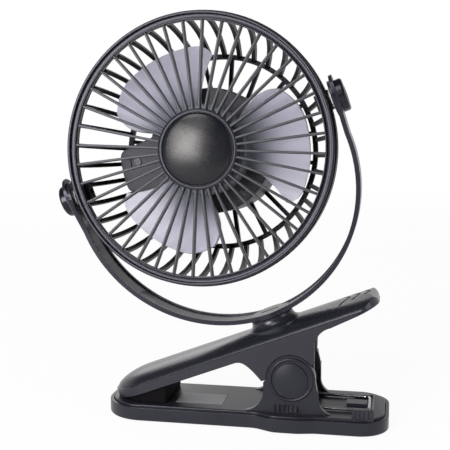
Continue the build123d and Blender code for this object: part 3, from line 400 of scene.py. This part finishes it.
def cellSleeve():
    # shrunk film with fine creases round the cell; its colour is painted shade, darker in the crease hollows and
    # paler on their ridges
    look = sleeveLook
    finish = newFinish("cellSleeve")
    creases = finish.noise(look["creaseSize"], vector=finish.place(stretch=look["creaseStretch"]))
    # painted shade: the colour follows the crease relief that the bump also uses
    return finish.surface(finish.mix(creases, shade(look["dark"]), shade(look["light"])),
                          swung(look["roughness"], look["glossShift"], creases),
                          finish.bump(creases, look["creaseDepth"]))


finishes = {name: mouldedPlastic(name, {**plasticLook, **changes}) for name, changes in plasticKinds.items()}
finishes.update({name: metal(name, {**metalLook, **changes}) for name, changes in metalKinds.items()})
finishes.update({made.name: made for made in (
    armPlastic(), bladePlastic(), softRubber(), labelFilm(), clearLens(), circuitLacquer(), cellSleeve())})

# every node that isn't named here is satin plastic
nodesOf = {
    "yokePlastic": ("yoke",),
    "armPlastic": ("upper_arm",),
    "basketPlastic": ("rear_grille",),
    "podPlastic": ("motor_cover",),
    "capPlastic": ("hub_cap",),
    "bladePlastic": ("impeller",),
    "pivotPlastic": ("pivot_cap_left", "pivot_cap_right"),
    "washerPlastic": ("swivel_washer", "pivot_washers", "motor_end_cap"),
    "softRubber": ("base_sole", "jaw_pad"),
    "springSteel": ("clip_spring",),
    "platedSteel": ("base_screws", "hinge_axle", "swivel_screw", "motor_shaft", "motor_can",
                    "charging_socket"),
    "blackenedSteel": ("pivot_screws", "housing_screws", "tongue_screw"),
    "dullIron": ("motor_magnets", "armature"),
    "sinteredBronze": ("motor_bushings",),
    "labelFilm": ("label_plate",),
    "clearLens": ("indicator_lenses",),
    "circuitLacquer": ("circuit_board",),
    "cellSleeve": ("battery_cell",),
}
finishOf = dict.fromkeys(nodes, finishes["satinPlastic"])
for kind, members in nodesOf.items():
    finishOf.update(dict.fromkeys(members, finishes[kind]))
for name, node in nodes.items():
    for slot in node.material_slots:
        slot.material = finishOf[name]
print("finishes ready:", len(finishes))


# modelling helpers; shapes are drawn in millimetres in the place of the part that carries them

tiny = 0.001        # vertices closer than this are merged
seamTiny = 0.003    # the same for copies of CAD meshes
flatAngle = 0.05    # faces that meet at less than this, in degrees, are joined


def lathe(points, steps=120, closed=True):
    # a profile of (radius, depth) points spun about the Y axis
    bm = bmesh.new()
    verts = [bm.verts.new((radius, depth, 0)) for radius, depth in points]
    pairs = list(zip(verts, verts[1:])) + ([(verts[-1], verts[0])] if closed else [])
    for pair in pairs:
        bm.edges.new(pair)
    bmesh.ops.spin(bm, geom=bm.verts[:] + bm.edges[:], cent=(0, 0, 0), axis=(0, 1, 0), angle=2 * math.pi,
                   steps=steps, use_merge=True)
    bmesh.ops.remove_doubles(bm, verts=bm.verts, dist=tiny)
    bmesh.ops.recalc_face_normals(bm, faces=bm.faces)
    return bm


def roundCorners(bm, width, segments=2, least=25, edges=None):
    # bevels the edges whose faces meet at more than the least angle
    sharp = [edge for edge in (edges or bm.edges)
             if edge.is_manifold and edge.calc_face_angle(0) > math.radians(least)]
    bmesh.ops.bevel(bm, geom=sharp, offset=width, offset_type="OFFSET", segments=segments, profile=0.5,
                    affect="EDGES", material=-1, clamp_overlap=True)
    return bm


def repeated(bm, count):
    # copies round the Y axis
    bmesh.ops.spin(bm, geom=bm.verts[:] + bm.edges[:] + bm.faces[:], cent=(0, 0, 0), axis=(0, 1, 0),
                   angle=2 * math.pi * (count - 1) / count, steps=count - 1, use_duplicate=True)
    return bm


def bar(size, middle):
    bm = bmesh.new()
    bmesh.ops.create_cube(bm, size=1.0)
    bmesh.ops.scale(bm, vec=size, verts=bm.verts)
    bmesh.ops.translate(bm, vec=middle, verts=bm.verts)
    return bm


def shown(bm, name):
    mesh = bpy.data.meshes.new(name)
    bm.to_mesh(mesh)
    bm.free()
    piece = bpy.data.objects.new(name, mesh)
    bpy.context.scene.collection.objects.link(piece)
    return piece


def standIn(bm, name, node, place=Matrix.Identity(4), angle=40, finish=None, slot=None):
    # makes a piece that stands for the node and is shown in its place
    bmesh.ops.transform(bm, matrix=place @ Matrix.Scale(mm, 4), verts=bm.verts)
    piece = shown(bm, name)
    piece.data.materials.append(finish or finishOf[node])
    piece.data.shade_smooth()
    piece.data.set_sharp_from_angle(angle=math.radians(angle))
    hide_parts(node)
    return piece


def finished(bm, name, node, **details):
    # the same, for a piece that moves with the node's body
    piece = standIn(bm, name, node, **details)
    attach(piece, bodyOf[node])
    return piece


def copyOf(node):
    # a merged copy of a CAD node, in millimetres
    bm = bmesh.new()
    bm.from_mesh(nodes[node].data)
    bmesh.ops.scale(bm, vec=(1 / mm,) * 3, verts=bm.verts)
    bmesh.ops.remove_doubles(bm, verts=bm.verts, dist=seamTiny)
    bmesh.ops.dissolve_degenerate(bm, dist=seamTiny, edges=bm.edges)
    bmesh.ops.dissolve_limit(bm, angle_limit=math.radians(flatAngle), verts=bm.verts, edges=bm.edges)
    return bm


def softened(node, name, width, segments, slot, least=32):
    # a copy of a CAD node with its corners rounded
    piece = finished(copyOf(node), name, node, angle=least, slot=slot)
    bevel = piece.modifiers.new("roundCorners", "BEVEL")
    bevel.width = width * mm
    bevel.segments = segments
    bevel.limit_method = "ANGLE"
    bevel.angle_limit = math.radians(least)
    bevel.harden_normals = True
    bevel.use_clamp_overlap = True


# front grille: ring, the wall behind it, ribs and hub

ringLook = {
    "inner": 62.1, "outer": 66.6, "seam": -5.2, "front": -9.0, "lip": -8.8, "floor": -7.2,
    "lipWidth": 0.7, "ridge": 1.5, "draft": 0.2, "edgeIn": 0.4, "edgeBack": 0.7, "corner": 0.22, "steps": 160,
}


def makeRing():
    # a flat-bottomed groove between a thin inner lip and the outer ridge
    look = ringLook
    inner, outer, floor = look["inner"], look["outer"], look["floor"]
    lipEnd = inner + look["lipWidth"]
    ridgeStart = outer - look["ridge"]
    profile = [
        (inner, look["seam"]), (inner, look["lip"]), (lipEnd, look["lip"]),
        (lipEnd + look["draft"], floor), (ridgeStart - look["draft"], floor),
        (ridgeStart, look["front"]), (outer - look["edgeIn"], look["front"]),
        (outer, look["front"] + look["edgeBack"]), (outer, look["seam"]),
    ]
    bm = roundCorners(lathe(profile, look["steps"]), look["corner"])
    finished(bm, "grilleRing", "front_grille", place=headPlace, finish=finishes["ringPlastic"])


spigotLook = {"inner": 63.8, "outer": 64.9, "front": -5.6, "back": -2.2, "corner": 0.2}


def makeSpigot():
    # the ring's inner wall that the rear basket slips over
    look = spigotLook
    profile = [(look["inner"], look["front"]), (look["outer"], look["front"]),
               (look["outer"], look["back"]), (look["inner"], look["back"])]
    bm = roundCorners(lathe(profile), look["corner"], segments=1)
    finished(bm, "grilleSpigot", "front_grille", place=headPlace, finish=finishes["basketPlastic"])


ribLook = {"count": 40, "width": 1.3, "front": -8.2, "back": -5.4, "start": 18.8, "end": 62.9, "round": 0.42}


def makeRibs():
    # one rib with its two long front edges rounded, half a step off the axis, then its copies
    look = ribLook
    length = look["end"] - look["start"]
    depth = look["back"] - look["front"]
    bm = bar((length, depth, look["width"]), (look["start"] + length / 2, look["front"] + depth / 2, 0))
    front = [edge for edge in bm.edges
             if all(abs(vert.co.y - look["front"]) < tiny for vert in edge.verts)
             and edge.calc_length() > look["width"] * 2]
    roundCorners(bm, look["round"], segments=3, edges=front)
    turn = Matrix.Rotation(-math.pi / look["count"], 4, "Y")
    bmesh.ops.transform(bm, matrix=turn, verts=bm.verts)
    finished(repeated(bm, look["count"]), "grilleRibs", "front_grille", place=headPlace,
             finish=finishes["ribPlastic"])


hubLook = {
    "radius": 19.8, "front": -8.6, "back": -2.2, "seat": 17.62, "seatDepth": -7.4, "wall": 1.6,
    "lipTop": 0.3, "lipFoot": 0.5, "rimTop": 0.6, "rimFoot": 0.9, "groove": 0.35, "edgeBack": 0.4,
    "floor": 3.2, "bore": 3.2, "corner": 0.12,
}


def makeHub():
    # a stepped disc with a shallow groove round the cap's seat and a bore through its floor
    look = hubLook
    outer, front, back, seat = look["radius"], look["front"], look["back"], look["seat"]
    inside = outer - look["wall"]
    profile = [
        (seat, front), (seat + look["lipTop"], front), (seat + look["lipFoot"], front + look["groove"]),
        (outer - look["rimFoot"], front + look["groove"]), (outer - look["rimTop"], front),
        (outer, front + look["edgeBack"]), (outer, back), (inside, back), (inside, back - look["floor"]),
        (look["bore"], back - look["floor"]), (look["bore"], look["seatDepth"]), (seat, look["seatDepth"]),
    ]
    bm = roundCorners(lathe(profile), look["corner"])
    finished(bm, "grilleHub", "front_grille", place=headPlace)


makeRing()
makeSpigot()
makeRibs()
makeHub()
print("front grille done")

# hub cap

capLook = {
    "radius": 17.5, "edge": -8.6, "dome": 2.4, "thickness": 1.0, "corner": 0.55,
    "shoulderIn": 0.1, "shoulderBack": 0.25, "rings": 10,
}


def makeHubCap():
    # a shallow dome with a rounded rim and a flat back
    look = capLook
    radius, edge = look["radius"], look["edge"]
    ball = (radius ** 2 + look["dome"] ** 2) / (2 * look["dome"])
    widest = math.asin((radius - look["corner"]) / ball)
    middle = edge - look["dome"] + ball
    angles = [widest * i / look["rings"] for i in range(1, look["rings"] + 1)]
    profile = [(0, middle - ball)]
    profile += [(ball * math.sin(angle), middle - ball * math.cos(angle)) for angle in angles]
    profile += [(radius - look["shoulderIn"], edge + look["shoulderBack"]), (radius, edge + look["corner"]),
                (radius, edge + look["thickness"]), (0, edge + look["thickness"])]
    finished(lathe(profile, closed=False), "hubCap", "hub_cap", place=headPlace, angle=50)


makeHubCap()
print("hub cap done")

# moulded parts

softenedLook = {
    # node: piece, corner width, segments, slot
    "rear_grille": ("rearBasket", 0.22, 2, "dark_plastic"),
    "motor_cover": ("motorCover", 0.25, 2, "dark_plastic"),
    "impeller": ("fanBlades", 0.4, 3, "blade_plastic"),
    "yoke": ("yokeBand", 0.45, 3, "dark_plastic"),
    "base_tray": ("baseTray", 0.6, 3, "dark_plastic"),
    "base_cover": ("baseCover", 0.3, 2, "dark_plastic"),
    "jaw_pad": ("jawPad", 0.6, 3, "rubber"),
    "label_plate": ("labelPlate", 0.1, 2, "label_film"),
}
for node, details in softenedLook.items():
    softened(node, *details)
print("moulded parts softened")

# clip spring


def makeSpring():
    # a merged copy of the spring, left fixed in place; the real coil twists as the clip opens, the loop staying
    # with the base and the long legs going with the arm, but this piece does not follow
    piece = standIn(copyOf("clip_spring"), "clipSpring", "clip_spring", angle=50, slot="spring_steel")
    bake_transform(piece)


makeSpring()
print("clip spring done")


# studio; lengths in metres, power in watts

floorLook = {"size": 8.0, "colour": (0.86, 0.86, 0.86), "fadeFrom": 0.55, "fadeTo": 1.6, "glow": 0.94}


def makeFloor():
    # pale paper that keeps the fan's shadow and fades into the white backdrop
    look = floorLook
    bm = bmesh.new()
    bmesh.ops.create_grid(bm, x_segments=2, y_segments=2, size=look["size"] / 2)
    floor = shown(bm, "floor")
    finish = newFinish("floorPaper")
    seen = finish.rays("Is Camera Ray", "Is Glossy Ray", "Is Transmission Ray")
    paper = finish.node("ShaderNodeBsdfDiffuse", inputs={"Color": shade(look["colour"])})
    glow = finish.node("ShaderNodeEmission", inputs={"Color": (1, 1, 1, 1), "Strength": 1.0})
    lit = finish.node("ShaderNodeMixShader",
                      inputs={0: seen * look["glow"], 1: paper.outputs[0], 2: glow.outputs[0]})
    clear = finish.node("ShaderNodeBsdfTransparent")
    away = finish.between(finish.length(finish.place()), look["fadeFrom"], look["fadeTo"])
    mixed = finish.node("ShaderNodeMixShader", inputs={0: away, 1: lit.outputs[0], 2: clear.outputs[0]})
    finish.node("ShaderNodeOutputMaterial", inputs={"Surface": mixed.outputs[0]})
    floor.data.materials.append(finish.owner)


def aimed(item, place, target):
    item.location = place
    item.rotation_euler = (Vector(target) - Vector(place)).to_track_quat("-Z", "Y").to_euler()
    bpy.context.scene.collection.objects.link(item)


lampLook = {
    # place, size, power
    "keyBox": ((-0.62, -1.2, 0.36), 0.62, 19.0),
    "highBox": ((-0.5, -0.9, 1.25), 0.7, 9.0),
    "fillBox": ((1.3, -0.5, 0.5), 0.7, 4.5),
    "rimBox": ((-0.55, 0.95, 0.55), 0.5, 1.5),
}
lampTarget = (-0.035, 0.0, 0.08)


def makeLamps():
    for name, (place, size, power) in lampLook.items():
        light = bpy.data.lights.new(name, "AREA")
        light.size = size
        light.energy = power
        aimed(bpy.data.objects.new(name, light), place, lampTarget)


worldLook = {"roomLight": 0.34, "roomMirrored": 0.06, "backRange": (-0.55, 0.2), "topRange": (0.3, 0.7)}


def makeWorld():
    # white to the camera; mirrored rays meet a backdrop behind and beside the fan and a dim room elsewhere
    look = worldLook
    world = bpy.data.worlds.new("studio")
    bpy.context.scene.world = world
    finish = Finish(world)
    direction = finish.parts(finish.node("ShaderNodeTexCoord").outputs["Generated"])
    behind = finish.between(direction[1], *look["backRange"])
    above = finish.between(direction[2], *look["topRange"])
    backdrop = finish.math("MAXIMUM", behind * (1 - above), look["roomMirrored"])
    camera = finish.rays("Is Camera Ray")
    mirrored = finish.rays("Is Glossy Ray", "Is Transmission Ray")
    level = finish.math("MAXIMUM", camera, mirrored * backdrop + (1 - mirrored) * look["roomLight"])
    light = finish.node("ShaderNodeBackground", inputs={"Color": (1, 1, 1, 1), "Strength": level})
    finish.node("ShaderNodeOutputWorld", inputs={"Surface": light.outputs[0]})


cameraLook = {
    "azimuth": 10.71, "height": 7.0, "distance": 0.439, "target": (-0.0354, 0, 0.0961),
    "lens": 70.92, "sensor": 36, "nearest": 0.01,
}


def makeCamera():
    # azimuth and height are in degrees, seen from the target
    look = cameraLook
    turn, rise = math.radians(look["azimuth"]), math.radians(look["height"])
    away = Vector((math.sin(turn) * math.cos(rise), -math.cos(turn) * math.cos(rise), math.sin(rise)))
    data = bpy.data.cameras.new("camera")
    data.lens = look["lens"]
    data.sensor_width = look["sensor"]
    data.clip_start = look["nearest"]
    camera = bpy.data.objects.new("camera", data)
    aimed(camera, Vector(look["target"]) + away * look["distance"], look["target"])
    bpy.context.scene.camera = camera


makeFloor()
makeLamps()
makeWorld()
makeCamera()
bpy.context.scene.view_settings.view_transform = "Standard"
print("studio ready")
